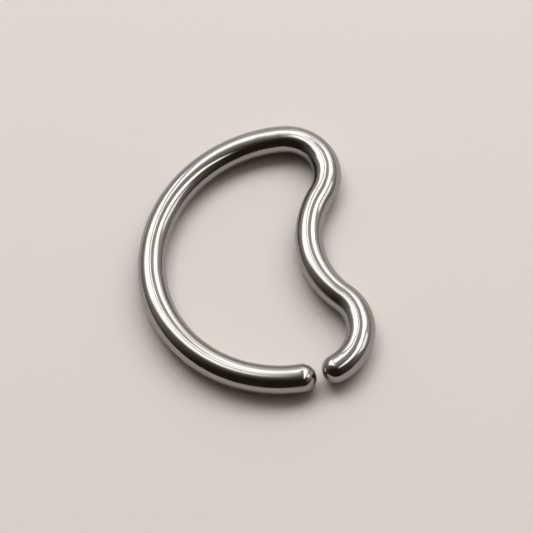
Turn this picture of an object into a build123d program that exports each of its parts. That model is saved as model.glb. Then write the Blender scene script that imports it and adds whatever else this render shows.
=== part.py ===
# A seamless ring for a cartilage piercing, made of one round steel wire.
# The wire is bent into a kidney-shaped loop, and its two domed ends all but meet.
# The ring lies flat. X runs along the middle of the loop, towards the dip in its outline,
# Y is across it, and Z is up. The origin is under the middle of the ring, on the surface
# that it lies on. Lengths are in millimetres and angles in degrees.

from build123d import *
import math
import os

# Driving dimensions
wire_diameter = 1.2          # 16 gauge, the usual wire for cartilage
hoop_inner_diameter = 10.25  # clear width inside the big round arc
loop_depth = 5.57            # clear width from the far side of that arc to the dip
shoulder_radius = 1.93       # bend at each side of the dip, to the middle of the wire
shoulder_angle = 82.4        # where the big arc meets each shoulder, seen from its centre
short_end_angle = 10.3       # how far the lower shoulder stops short of the big arc
gap_width = 0.24             # between the two domed ends

# Sizes worked out from them, in the frame of the big arc's centre
wire_radius = wire_diameter / 2
hoop_radius = hoop_inner_diameter / 2 + wire_radius


def point_at(centre, radius, direction):
    """The point of a circle that lies in the given direction from its centre."""
    angle = math.radians(direction)
    return Vector(centre.X + radius * math.cos(angle), centre.Y + radius * math.sin(angle))


def direction_to(start, end):
    """The direction from one point to another."""
    return math.degrees(math.atan2(end.Y - start.Y, end.X - start.X))


def dip_centre_and_radius(shoulder, dip_bottom):
    """The arc that passes through the dip's bottom and touches both shoulders from outside."""
    across = shoulder.Y
    inward = dip_bottom - shoulder.X
    radius = (inward**2 + across**2 - shoulder_radius**2) / (2 * (shoulder_radius - inward))
    return Vector(dip_bottom + radius, 0), radius


def long_end_direction(short_end):
    """Where the big arc ends, so that the two domes are the gap's width apart."""
    between_ends = gap_width + wire_diameter
    reach = short_end.length
    cosine = (hoop_radius**2 + reach**2 - between_ends**2) / (2 * hoop_radius * reach)
    return direction_to(Vector(0, 0), short_end) - math.degrees(math.acos(cosine))


def centre_line():
    """The wire's middle as four arcs, each running on from the last without a corner."""
    hoop = Vector(0, 0)
    upper = point_at(hoop, hoop_radius - shoulder_radius, shoulder_angle)
    lower = Vector(upper.X, -upper.Y)
    dip, dip_radius = dip_centre_and_radius(upper, loop_depth + wire_diameter - hoop_radius)

    to_dip = direction_to(upper, dip)
    short_end_direction = short_end_angle - shoulder_angle
    short_end = point_at(lower, shoulder_radius, short_end_direction)
    start = long_end_direction(short_end)

    return Wire([
        CenterArc(hoop, hoop_radius, start, shoulder_angle - 360 - start).edge(),
        CenterArc(upper, shoulder_radius, shoulder_angle, to_dip - shoulder_angle).edge(),
        CenterArc(dip, dip_radius, 180 + to_dip, -2 * to_dip).edge(),
        CenterArc(lower, shoulder_radius, -to_dip, short_end_direction + to_dip).edge(),
    ])


def make_ring():
    """The round wire along its centre line, with a half ball on each end."""
    line = centre_line()
    section = Plane(origin=line @ 0, z_dir=line % 0) * Circle(wire_radius)
    ring = sweep(section, path=line)
    for end in (line @ 0, line @ 1):
        ring += Pos(end) * Sphere(wire_radius)
    return ring


def set_down(shape):
    """Moves a shape so that the origin is under the middle of its box."""
    box = shape.bounding_box()
    middle = box.center()
    return Pos(-middle.X, -middle.Y, -box.min.Z) * shape


os.makedirs("parts", exist_ok=True)
export_step(set_down(make_ring()), "parts/ring_wire.step")
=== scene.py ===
"""Looks for the seamless cartilage ring: its fine surface, its steel, a pale floor, lights and the camera.

Lengths are in metres, in the part's frame: X runs along the middle of the loop towards its dip, Y across
it, and Z up.
"""

import math

import bmesh
import bpy
from mathutils import Matrix, Vector


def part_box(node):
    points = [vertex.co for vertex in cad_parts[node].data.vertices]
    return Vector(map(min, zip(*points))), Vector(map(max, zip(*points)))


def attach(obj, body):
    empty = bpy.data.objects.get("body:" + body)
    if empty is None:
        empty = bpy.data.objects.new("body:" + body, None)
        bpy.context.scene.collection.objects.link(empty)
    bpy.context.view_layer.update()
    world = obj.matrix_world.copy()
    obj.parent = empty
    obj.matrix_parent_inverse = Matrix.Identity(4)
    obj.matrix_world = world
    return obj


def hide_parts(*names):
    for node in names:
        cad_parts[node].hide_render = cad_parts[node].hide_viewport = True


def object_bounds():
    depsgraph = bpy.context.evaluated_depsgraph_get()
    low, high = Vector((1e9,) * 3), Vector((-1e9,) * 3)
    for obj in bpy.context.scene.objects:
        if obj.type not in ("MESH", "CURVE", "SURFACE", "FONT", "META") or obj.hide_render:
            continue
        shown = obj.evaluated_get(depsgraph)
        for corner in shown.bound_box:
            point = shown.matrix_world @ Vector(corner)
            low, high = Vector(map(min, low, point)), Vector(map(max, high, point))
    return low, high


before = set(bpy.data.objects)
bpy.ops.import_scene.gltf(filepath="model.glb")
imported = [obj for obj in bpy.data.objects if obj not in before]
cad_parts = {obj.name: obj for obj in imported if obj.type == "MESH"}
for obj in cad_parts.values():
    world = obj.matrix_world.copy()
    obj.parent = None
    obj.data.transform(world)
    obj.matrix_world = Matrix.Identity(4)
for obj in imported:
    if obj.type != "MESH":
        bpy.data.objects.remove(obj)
cad_low, cad_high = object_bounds()

MM = 0.001
UP = Vector((0, 0, 1))

# The ring's driving dimensions, as its solid has them
HOOP_INNER_DIAMETER = 10.25 * MM
LOOP_DEPTH = 5.57 * MM
SHOULDER_RADIUS = 1.93 * MM
SHOULDER_ANGLE = math.radians(82.4)
SHORT_END_ANGLE = math.radians(10.3)
GAP_WIDTH = 0.24 * MM
WIRE_RADIUS = (cad_high.z - cad_low.z) / 2

# How fine the wire's surface is: round it, along it, and from the foot of a dome to its tip
SIDES = 80
RING_SPACING = 0.07 * MM
DOME_STEPS = 20

# The steel's patterns: how many spots fit in a millimetre across the wire, their detail, and the share of
# that number which fits in a millimetre along it
DRAWING_LINES = (26, 3, 0.012)
SMEARS = (1.3, 3, 0.6)
WAVES = (0.9, 1, 0.7)
RIPPLES = (1.7, 0.5, 0.7)
SCUFFS = (3.5, 3, 0.5)

# A pattern's values lie between 0 and 1. A range is where its effect begins and where it is full.
TINT_RANGE = (0.35, 0.7)
SMEAR_RANGE = (0.35, 0.75)
LINE_RANGE = (0.4, 0.7)
SCUFF_RANGE = (0.3, 0.7)

# Clean steel, smeared steel, and the roughness that lines and scuffs add to either
CLEAN_COLOUR = (0.365, 0.35, 0.328, 1)
SMEARED_COLOUR = (0.335, 0.315, 0.290, 1)
CLEAN_ROUGHNESS = 0.06
SMEARED_ROUGHNESS = 0.1
LINE_ROUGHNESS = 0.05
LEAST_SCUFF_ROUGHNESS = 0.02
MOST_SCUFF_ROUGHNESS = 0.13

# Relief of the steel
WAVE_HEIGHT = 0.012 * MM
RIPPLE_HEIGHT = 0.035 * MM
LINE_HEIGHT = 0.0006 * MM

# Places along the wire from the foot of the long end's dome: scuffs fade out, then lines grow clear
FULL_SCUFFS_TO = 2 * MM
SCUFFS_TO = 4.5 * MM
FAINT_LINES_TO = 5.5 * MM
CLEAR_LINES_FROM = 9 * MM
FAINT_LINE_SHARE = 0.35

# Camera, as worked out from the photograph's perspective
CAMERA_AZIMUTH = math.radians(3.37)
CAMERA_ELEVATION = math.radians(61.38)
CAMERA_ROLL = math.radians(-14.65)
CAMERA_DISTANCE = 70 * MM
CAMERA_TARGET = Vector((0.744, -0.344, 0.6)) * MM
CAMERA_LENS_MM = 112.7
NEAREST_SEEN = 1 * MM
FARTHEST_SEEN = 10

# The studio's panels hang level above the ring, each a little higher than the one before.
# A panel is its name, its radiance and its sides, which go round anticlockwise.
# A side is the way it faces in degrees, its distance from the point above the ring's middle, and the
# width of its fade. Both lengths are shares of the panel's height.
PANEL_HEIGHT = 120 * MM
PANEL_SPACING = 0.5 * MM
PANELS = [
    ("left_panel", 2.5, [
        (0, -0.07, 0.06),
        (16.7, -0.04, 0.06),
        (90, 1.9, 0.6),
        (135, 1.65, 0.4),
        (180, 1.25, 0.25),
        (241, 0.05, 0.25),
        (315, -0.17, 0.45),
    ]),
    ("middle_panel", 2.5, [
        (-11, -0.08, 0.12),
        (90, 1.25, 0.7),
        (195.1, -0.03, 0.06),
        (250, -0.29, 0.5),
    ]),
    ("front_panel", 0.2, [
        (0, 0.05, 0.25),
        (90, 0.5, 0.4),
        (180, 0.35, 0.3),
        (270, 0.05, 0.5),
    ]),
    ("back_panel", 2.5, [
        (0, 0.46, 0.15),
        (90, 1.4, 0.7),
        (169, 0.08, 0.12),
        (302, -0.63, 0.2),
    ]),
    ("right_panel", 2.5, [
        (-16, 0.8, 0.1),
        (90, 1.4, 0.6),
        (172, -0.4, 0.15),
        (270, -0.35, 0.2),
    ]),
    ("right_near_panel", 3.2, [
        (-16, 0.8, 0.1),
        (90, 0.35, 0.2),
        (172, -0.4, 0.15),
        (275, 0.58, 0.2),
        (320, 0.7, 0.15),
    ]),
    ("far_right_panel", 2.3, [
        (0, 1.45, 0.5),
        (90, 1.4, 0.6),
        (164, -0.8, 0.1),
        (305, 0.32, 0.2),
    ]),
    ("far_right_near_panel", 1.8, [
        (0, 2.1, 0.3),
        (90, 0.2, 0.2),
        (164, -1.09, 0.12),
        (270, 0.5, 0.2),
    ]),
    ("outer_panel", 0.8, [
        (0, 2.6, 0.5),
        (90, 2.8, 0.6),
        (180, -0.45, 0.3),
        (270, -1.4, 0.4),
    ]),
]
PANEL_COLOUR = (0.987, 1, 1.05)

# The key light is a panel too, higher up
KEY_HEIGHT = 300 * MM
KEY_RADIANCE = 4.2
KEY_COLOUR = (0.995, 1, 1.025)
KEY_SIDES = [
    (0, 1.7, 0.4),
    (90, 1.2, 0.6),
    (180, 0.5, 0.4),
    (270, -0.35, 0.25),
]

# The room is dark, with a glow towards its pale side, which is weaker low down, and a pale wall.
# Each fades in between two places on a scale from about -1, straight away from it, to about 1, straight
# towards it.
# The glow's strength rises between two heights, where 0 is the horizon and 1 is straight up.
DARK_COLOUR = (0.030, 0.021, 0.014, 1)
PALE_COLOUR = (1, 0.97, 0.93, 1)
PALE_SIDE = Vector((0.38, 0.925, -0.26))
PALE_SIDE_RADIANCE = 0.9
PALE_SIDE_FADE = (-0.8, 0.8)
GLOW_HEIGHTS = (0.1, 0.5)
LOW_GLOW_SHARE = 0.42
WALL_SIDE = Vector((0.26, 0.966, 0))
WALL_RADIANCE = 0.3
WALL_FADE = (0.75, 1)

FLOOR_HALF_WIDTH = 1.5
FLOOR_COLOUR = (0.72, 0.67, 0.62, 1)
FLOOR_ROUGHNESS = 0.9
FLOOR_GLOSS = 0.1


def heading(angle):
    """The direction in the plan at an angle, one unit long."""
    return Vector((math.cos(angle), math.sin(angle)))


def left_of(direction):
    """A direction in the plan, turned a quarter to the left."""
    return Vector((-direction.y, direction.x))


def angle_to(start, end):
    """The angle of the way from one point in the plan to another."""
    return math.atan2(end.y - start.y, end.x - start.x)


def wire_bends():
    """The wire's middle as arcs (centre, radius, first angle, turn), from the long end to the short end."""
    hoop = Vector((0, 0))
    hoop_radius = HOOP_INNER_DIAMETER / 2 + WIRE_RADIUS
    upper = heading(SHOULDER_ANGLE) * (hoop_radius - SHOULDER_RADIUS)
    lower = Vector((upper.x, -upper.y))

    inward = LOOP_DEPTH + 2 * WIRE_RADIUS - hoop_radius - upper.x
    dip_radius = (inward**2 + upper.y**2 - SHOULDER_RADIUS**2) / (2 * (SHOULDER_RADIUS - inward))
    dip = Vector((upper.x + inward + dip_radius, 0))
    to_dip = angle_to(upper, dip)

    short_end_direction = SHORT_END_ANGLE - SHOULDER_ANGLE
    short_end = lower + heading(short_end_direction) * SHOULDER_RADIUS
    reach = short_end.length
    between_ends = GAP_WIDTH + 2 * WIRE_RADIUS
    cosine = (hoop_radius**2 + reach**2 - between_ends**2) / (2 * hoop_radius * reach)
    start = angle_to(hoop, short_end) - math.acos(cosine)

    return [
        (hoop, hoop_radius, start, SHOULDER_ANGLE - math.tau - start),
        (upper, SHOULDER_RADIUS, SHOULDER_ANGLE, to_dip - SHOULDER_ANGLE),
        (dip, dip_radius, math.pi + to_dip, -2 * to_dip),
        (lower, SHOULDER_RADIUS, -to_dip, short_end_direction + to_dip),
    ]


def wire_stations():
    """Cross-sections from tip to tip: (middle, forward, section radius, place on the straightened wire)."""
    stations = []
    travelled = 0.0
    bends = wire_bends()
    for number, (centre, radius, first, turn) in enumerate(bends):
        length = radius * abs(turn)
        steps = math.ceil(length / RING_SPACING)
        last = number == len(bends) - 1
        for step in range(steps + 1 if last else steps):
            share = step / steps
            outward = heading(first + turn * share)
            forward = left_of(outward) * math.copysign(1, turn)
            stations.append((centre + outward * radius, forward, WIRE_RADIUS, travelled + length * share))
        travelled += length

    first_middle, first_forward, _, _ = stations[0]
    last_middle, last_forward, _, _ = stations[-1]
    for step in range(1, DOME_STEPS + 1):
        tilt = math.pi / 2 * step / DOME_STEPS
        ahead = WIRE_RADIUS * math.sin(tilt)
        section = WIRE_RADIUS * math.cos(tilt)
        stations.insert(0, (first_middle - first_forward * ahead, first_forward, section, -ahead))
        stations.append((last_middle + last_forward * ahead, last_forward, section, travelled + ahead))
    return stations


def shoulder_stretches():
    """Where the two shoulders lie along the wire: the middle and the length of each."""
    stretches = []
    travelled = 0.0
    for _, radius, _, turn in wire_bends():
        length = radius * abs(turn)
        if radius == SHOULDER_RADIUS:
            stretches.append((travelled + length / 2, length))
        travelled += length
    return stretches


def add_to_scene(name, mesh):
    """Makes an object of a finished bmesh."""
    data = bpy.data.meshes.new(name)
    mesh.to_mesh(data)
    mesh.free()
    made = bpy.data.objects.new(name, data)
    bpy.context.scene.collection.objects.link(made)
    return made


def build_wire():
    """The wire as one closed mesh, set down where its solid is.

    Each point also knows its place on the wire as it was before it was bent, and how tight the bend is
    there, from 0 to 1 in the middle of a shoulder.
    """
    mesh = bmesh.new()
    straight = mesh.verts.layers.float_vector.new("straight_wire")
    tight = mesh.verts.layers.float.new("tight_bend")
    shoulders = shoulder_stretches()

    def add_point(station, angle):
        """A point at an angle round a cross-section, from its top to the right."""
        middle, forward, section, along = station
        rise = math.cos(angle) * section
        aside = math.sin(angle) * section
        place = middle - left_of(forward) * aside
        point = mesh.verts.new((place.x, place.y, WIRE_RADIUS + rise))
        point[straight] = (aside, rise, along)
        point[tight] = sum(max(0, 1 - abs(along - centre) / length) for centre, length in shoulders)
        return point

    first_tip, *sections, last_tip = wire_stations()
    angles = [math.tau * side / SIDES for side in range(SIDES)]
    rings = [[add_point(station, angle) for angle in angles] for station in sections]
    for near, far in zip(rings, rings[1:]):
        for side in range(SIDES):
            mesh.faces.new((near[side - 1], far[side - 1], far[side], near[side]))
    for tip, ring in ((first_tip, rings[0]), (last_tip, rings[-1])):
        pole = add_point(tip, 0)
        for side in range(SIDES):
            mesh.faces.new((pole, ring[side - 1], ring[side]))

    bmesh.ops.recalc_face_normals(mesh, faces=mesh.faces)
    for face in mesh.faces:
        face.smooth = True

    low = Vector([min(point.co[axis] for point in mesh.verts) for axis in range(3)])
    high = Vector([max(point.co[axis] for point in mesh.verts) for axis in range(3)])
    node_low, node_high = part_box("ring_wire")
    bmesh.ops.translate(mesh, verts=mesh.verts, vec=(node_low + node_high) / 2 - (low + high) / 2)
    return add_to_scene("polished_wire", mesh)


def new_material(name):
    """A material with nothing but a principled shader: the material, its node tree and the shader."""
    material = bpy.data.materials.new(name)
    material.use_nodes = True
    tree = material.node_tree
    tree.nodes.clear()
    output = tree.nodes.new("ShaderNodeOutputMaterial")
    shader = tree.nodes.new("ShaderNodeBsdfPrincipled")
    tree.links.new(shader.outputs["BSDF"], output.inputs["Surface"])
    return material, tree, shader


def feed(tree, socket, value):
    """Gives an input socket a number, or what another node puts out."""
    if isinstance(value, bpy.types.NodeSocket):
        tree.links.new(value, socket)
    else:
        socket.default_value = value


def attribute(tree, name, output):
    """What the mesh's points know under a name."""
    node = tree.nodes.new("ShaderNodeAttribute")
    node.attribute_name = name
    return node.outputs[output]


def maths(tree, operation, first, second):
    """A sum or product of two values."""
    node = tree.nodes.new("ShaderNodeMath")
    node.operation = operation
    feed(tree, node.inputs[0], first)
    feed(tree, node.inputs[1], second)
    return node.outputs["Value"]


def dot(tree, place, direction):
    """How far a place lies in a direction, times the direction's length."""
    node = tree.nodes.new("ShaderNodeVectorMath")
    node.operation = "DOT_PRODUCT"
    node.inputs[1].default_value = direction
    tree.links.new(place, node.inputs[0])
    return node.outputs["Value"]


def ramp(tree, value, start, end, from_result, to_result, interpolation="LINEAR"):
    """Goes from one result to another as a value goes from start to end, and no further."""
    node = tree.nodes.new("ShaderNodeMapRange")
    node.interpolation_type = interpolation
    node.inputs["From Min"].default_value = start
    node.inputs["From Max"].default_value = end
    node.inputs["To Min"].default_value = from_result
    node.inputs["To Max"].default_value = to_result
    tree.links.new(value, node.inputs["Value"])
    return node.outputs["Result"]


def smooth_ramp(tree, value, start, end, from_result, to_result):
    """A ramp with a gentle start and end."""
    return ramp(tree, value, start, end, from_result, to_result, "SMOOTHSTEP")


def pattern(tree, place, spots, detail, lengthwise):
    """Noise over the straight wire, which runs along Z."""
    mapping = tree.nodes.new("ShaderNodeMapping")
    mapping.inputs["Scale"].default_value = Vector((1, 1, lengthwise)) / MM
    tree.links.new(place, mapping.inputs["Vector"])
    texture = tree.nodes.new("ShaderNodeTexNoise")
    texture.inputs["Scale"].default_value = spots
    texture.inputs["Detail"].default_value = detail
    tree.links.new(mapping.outputs["Vector"], texture.inputs["Vector"])
    return texture.outputs["Fac"]


def relief(tree, heights, tallest, share=1.0, below=None):
    """The way the surface faces with a pattern raised on it, over any relief that is there already."""
    node = tree.nodes.new("ShaderNodeBump")
    node.inputs["Distance"].default_value = tallest
    tree.links.new(heights, node.inputs["Height"])
    feed(tree, node.inputs["Strength"], share)
    if below is not None:
        tree.links.new(below, node.inputs["Normal"])
    return node.outputs["Normal"]


def steel_colour(tree, smears):
    """A neutral steel, a little darker and warmer where it is smeared."""
    tint = tree.nodes.new("ShaderNodeValToRGB")
    colours = (CLEAN_COLOUR, SMEARED_COLOUR)
    for element, position, colour in zip(tint.color_ramp.elements, TINT_RANGE, colours):
        element.position = position
        element.color = colour
    tree.links.new(smears, tint.inputs["Fac"])
    return tint.outputs["Color"]


def polished_steel():
    """Mirror-polished steel wire.

    Drawing left fine lines along it, and polishing left gentle waves and soft smears. Bending left ripples
    where it is tight, and the wire is scuffed near its long end.
    """
    material, tree, shader = new_material("polished_steel")
    shader.inputs["Metallic"].default_value = 1.0

    place = attribute(tree, "straight_wire", "Vector")
    along = dot(tree, place, UP)
    lines = pattern(tree, place, *DRAWING_LINES)
    smears = pattern(tree, place, *SMEARS)
    scuffs = pattern(tree, place, *SCUFFS)
    tree.links.new(steel_colour(tree, smears), shader.inputs["Base Color"])

    roughness = ramp(tree, smears, *SMEAR_RANGE, CLEAN_ROUGHNESS, SMEARED_ROUGHNESS)
    line_share = ramp(tree, along, FAINT_LINES_TO, CLEAR_LINES_FROM, FAINT_LINE_SHARE, 1)
    line_roughness = ramp(tree, lines, *LINE_RANGE, 0, LINE_ROUGHNESS)
    scuff_share = ramp(tree, along, FULL_SCUFFS_TO, SCUFFS_TO, 1, 0)
    scuff_roughness = ramp(tree, scuffs, *SCUFF_RANGE, LEAST_SCUFF_ROUGHNESS, MOST_SCUFF_ROUGHNESS)
    for added, share in ((line_roughness, line_share), (scuff_roughness, scuff_share)):
        roughness = maths(tree, "ADD", roughness, maths(tree, "MULTIPLY", added, share))
    tree.links.new(roughness, shader.inputs["Roughness"])

    tight = attribute(tree, "tight_bend", "Fac")
    waved = relief(tree, pattern(tree, place, *WAVES), WAVE_HEIGHT)
    rippled = relief(tree, pattern(tree, place, *RIPPLES), RIPPLE_HEIGHT, tight, waved)
    lined = relief(tree, lines, LINE_HEIGHT, line_share, rippled)
    tree.links.new(lined, shader.inputs["Normal"])
    return material


def pale_floor():
    """A plain pale matt floor that reaches past every view."""
    mesh = bmesh.new()
    bmesh.ops.create_grid(mesh, x_segments=2, y_segments=2, size=FLOOR_HALF_WIDTH)
    floor = add_to_scene("floor", mesh)
    material, _, shader = new_material("pale_floor")
    shader.inputs["Base Color"].default_value = FLOOR_COLOUR
    shader.inputs["Roughness"].default_value = FLOOR_ROUGHNESS
    shader.inputs["Specular IOR Level"].default_value = FLOOR_GLOSS
    floor.data.materials.append(material)


def corner(side, following):
    """Where two sides of a panel meet. A side is the way it faces in degrees, its distance and its fade."""
    facing, distance, _ = side
    next_facing, next_distance, _ = following
    turn = math.radians(next_facing - facing)
    along = (next_distance - distance * math.cos(turn)) / math.sin(turn)
    outward = heading(math.radians(facing))
    return outward * distance + left_of(outward) * along


def soft_panel(name, height, radiance, colour, sides):
    """A level light above the ring that fades out across its sides, with half its radiance on a side."""
    corners = [corner(side, following) for side, following in zip(sides, sides[1:] + sides[:1])]
    widest = max(fade for _, _, fade in sides)
    low = [min(place[axis] for place in corners) - widest / 2 for axis in range(2)]
    high = [max(place[axis] for place in corners) + widest / 2 for axis in range(2)]
    light = bpy.data.lights.new(name, "AREA")
    light.shape = "RECTANGLE"
    light.size = (high[0] - low[0]) * height
    light.size_y = (high[1] - low[1]) * height
    light.energy = radiance * math.pi * light.size * light.size_y
    light.color = colour

    light.use_nodes = True
    tree = light.node_tree
    emission = next(node for node in tree.nodes if node.type == "EMISSION")
    place = tree.nodes.new("ShaderNodeNewGeometry").outputs["Position"]
    strength = 1.0
    for facing, distance, fade in sides:
        out = dot(tree, place, heading(math.radians(facing)).to_3d() / height)
        inside = smooth_ramp(tree, out, distance - fade / 2, distance + fade / 2, 1, 0)
        strength = maths(tree, "MULTIPLY", strength, inside)
    tree.links.new(strength, emission.inputs["Strength"])

    lamp = bpy.data.objects.new(name, light)
    lamp.location = Vector(((low[0] + high[0]) / 2, (low[1] + high[1]) / 2, 1)) * height
    lamp.visible_camera = False
    bpy.context.scene.collection.objects.link(lamp)
    return lamp


def studio_lights():
    """Soft panels that show only as reflections, and a key light that shows in none.

    The panels leave a thin seam between the left one and the middle one, and a grey notch between those
    two and the right ones. The key light on its own makes the shadow under the wire dark and clear-edged.
    """
    for number, (name, radiance, sides) in enumerate(PANELS):
        lamp = soft_panel(name, PANEL_HEIGHT + PANEL_SPACING * number, radiance, PANEL_COLOUR, sides)
        lamp.visible_diffuse = False

    key = soft_panel("key_light", KEY_HEIGHT, KEY_RADIANCE, KEY_COLOUR, KEY_SIDES)
    key.visible_glossy = False


def dim_room():
    """The room round the studio: pale behind the ring and dark on the camera's side."""
    world = bpy.data.worlds.new("room")
    world.use_nodes = True
    tree = world.node_tree
    tree.nodes.clear()
    direction = tree.nodes.new("ShaderNodeTexCoord").outputs["Generated"]
    glow = smooth_ramp(tree, dot(tree, direction, PALE_SIDE), *PALE_SIDE_FADE, 0, PALE_SIDE_RADIANCE)
    glow_share = smooth_ramp(tree, dot(tree, direction, UP), *GLOW_HEIGHTS, LOW_GLOW_SHARE, 1)
    wall = smooth_ramp(tree, dot(tree, direction, WALL_SIDE), *WALL_FADE, 0, WALL_RADIANCE)
    radiance = maths(tree, "ADD", maths(tree, "MULTIPLY", glow, glow_share), wall)

    both = tree.nodes.new("ShaderNodeAddShader")
    for slot, (colour, strength) in enumerate(((PALE_COLOUR, radiance), (DARK_COLOUR, 1.0))):
        light = tree.nodes.new("ShaderNodeBackground")
        light.inputs["Color"].default_value = colour
        feed(tree, light.inputs["Strength"], strength)
        tree.links.new(light.outputs["Background"], both.inputs[slot])
    output = tree.nodes.new("ShaderNodeOutputWorld")
    tree.links.new(both.outputs["Shader"], output.inputs["Surface"])
    bpy.context.scene.world = world


def set_camera():
    """The camera at the photograph's place, turned to its tilt."""
    level = heading(CAMERA_AZIMUTH).to_3d()
    back = level.cross(UP) * math.cos(CAMERA_ELEVATION) + UP * math.sin(CAMERA_ELEVATION)
    right = Matrix.Rotation(CAMERA_ROLL, 3, back) @ level
    turned = Matrix((right, back.cross(right), back)).transposed()
    data = bpy.data.cameras.new("camera")
    data.lens = CAMERA_LENS_MM
    data.clip_start = NEAREST_SEEN
    data.clip_end = FARTHEST_SEEN
    camera = bpy.data.objects.new("camera", data)
    camera.matrix_world = Matrix.Translation(CAMERA_TARGET + back * CAMERA_DISTANCE) @ turned.to_4x4()
    bpy.context.scene.collection.objects.link(camera)
    bpy.context.scene.camera = camera


wire = build_wire()
wire.data.materials.append(polished_steel())
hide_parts("ring_wire")
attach(wire, "root")

pale_floor()
studio_lights()
dim_room()
set_camera()
bpy.context.scene.view_settings.view_transform = "Standard"
